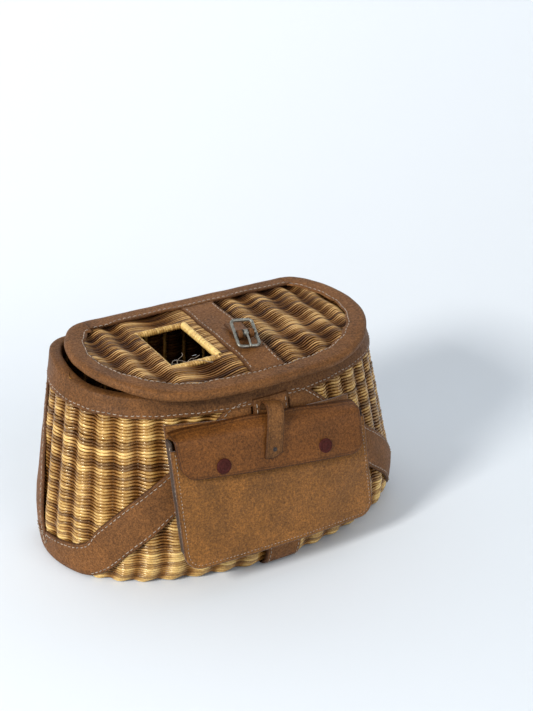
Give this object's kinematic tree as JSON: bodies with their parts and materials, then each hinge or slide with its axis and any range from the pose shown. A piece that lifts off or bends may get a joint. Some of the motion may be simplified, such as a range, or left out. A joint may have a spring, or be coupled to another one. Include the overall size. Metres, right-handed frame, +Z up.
{
  "type": "wicker fishing creel",
  "caption": "D-shaped woven basket in a leather harness, with a hinged woven lid that has a fish hole and a strap buckle, and a snap-fastened front pocket.",
  "frame": {"origin": "on the floor, under the middle of the rim's width and depth", "axes": "+Z up, +X to the creel's right-hand end seen from the pocket side, -Y towards the pocket"},
  "size_m": [0.36, 0.2034, 0.2112],
  "materials": {
    "willow": "matt, aged split willow",
    "willow_dark": "matt, smoke-darkened split willow",
    "harness_leather": "worn, waxed harness leather",
    "pocket_suede": "rough suede split",
    "flap_leather": "smooth, slightly glossy leather",
    "steel": "dull nickel-plated wire",
    "snap_metal": "dark enamelled cap"
  },
  "bodies": {
    "basket": {"basket_weave": "willow", "basket_stakes": "willow_dark", "rim_hoop": "willow_dark", "rim_band": "harness_leather", "left_corner_band": "harness_leather", "right_corner_band": "harness_leather", "left_diagonal_band": "harness_leather", "right_diagonal_band": "harness_leather", "centre_strap": "harness_leather", "hinge_leather": "harness_leather", "left_dee_loop": "harness_leather", "right_dee_loop": "harness_leather", "pocket_back": "pocket_suede", "pocket_panel": "pocket_suede", "pocket_gusset": "pocket_suede", "pocket_snap_studs": "steel", "flap_fold": "flap_leather", "closure_strap_root": "harness_leather"},
    "lid": {"lid_edge_binding": "harness_leather", "lid_back_binding": "harness_leather", "lid_rod": "willow_dark", "lid_weave": "willow_dark", "fish_hole_border": "willow", "lid_strap": "harness_leather", "buckle_chape": "harness_leather"},
    "buckle_frame": {"buckle_frame": "steel"},
    "buckle_prong": {"buckle_prong": "steel"},
    "pocket_flap": {"pocket_flap": "flap_leather", "flap_snap_caps": "snap_metal"},
    "closure_strap": {"closure_strap": "harness_leather"},
    "left_dee_ring": {"left_dee_ring": "steel"},
    "right_dee_ring": {"right_dee_ring": "steel"}
  },
  "joints": [
    {"name": "lid_hinge", "type": "hinge", "parent": "basket", "child": "lid", "pos_m": [0, 0.0777, 0.18815], "axis": [-1, 0, 0], "range_deg": [0, 175]},
    {"name": "buckle_hinge", "type": "hinge", "parent": "lid", "child": "buckle_frame", "pos_m": [0.004, -0.03081, 0.20178], "axis": [-0.9848, 0.1734, 0.0087], "range_deg": [0, 26]},
    {"name": "prong_hinge", "type": "hinge", "parent": "buckle_frame", "child": "buckle_prong", "pos_m": [0.004, -0.03081, 0.20178], "axis": [-0.9848, 0.1734, 0.0087], "range_deg": [0, 110]},
    {"name": "flap_hinge", "type": "hinge", "parent": "basket", "child": "pocket_flap", "pos_m": [-0.005, -0.08996, 0.14773], "axis": [-0.9967, 0.0173, 0.0792], "range_deg": [0, 110]},
    {"name": "closure_hinge", "type": "hinge", "parent": "basket", "child": "closure_strap", "pos_m": [0.003, -0.08816, 0.16064], "axis": [-0.9848, 0.0371, 0.1696], "range_deg": [0, 110]},
    {"name": "left_ring_swing", "type": "hinge", "parent": "basket", "child": "left_dee_ring", "pos_m": [-0.092, 0.07995, 0.146], "axis": [1, 0, 0], "range_deg": [0, 110]},
    {"name": "right_ring_swing", "type": "hinge", "parent": "basket", "child": "right_dee_ring", "pos_m": [0.092, 0.07995, 0.146], "axis": [1, 0, 0], "range_deg": [0, 110]}
  ],
  "couplings": [
    {"joint": "closure_hinge", "follows": "flap_hinge", "ratio": 1}
  ]
}
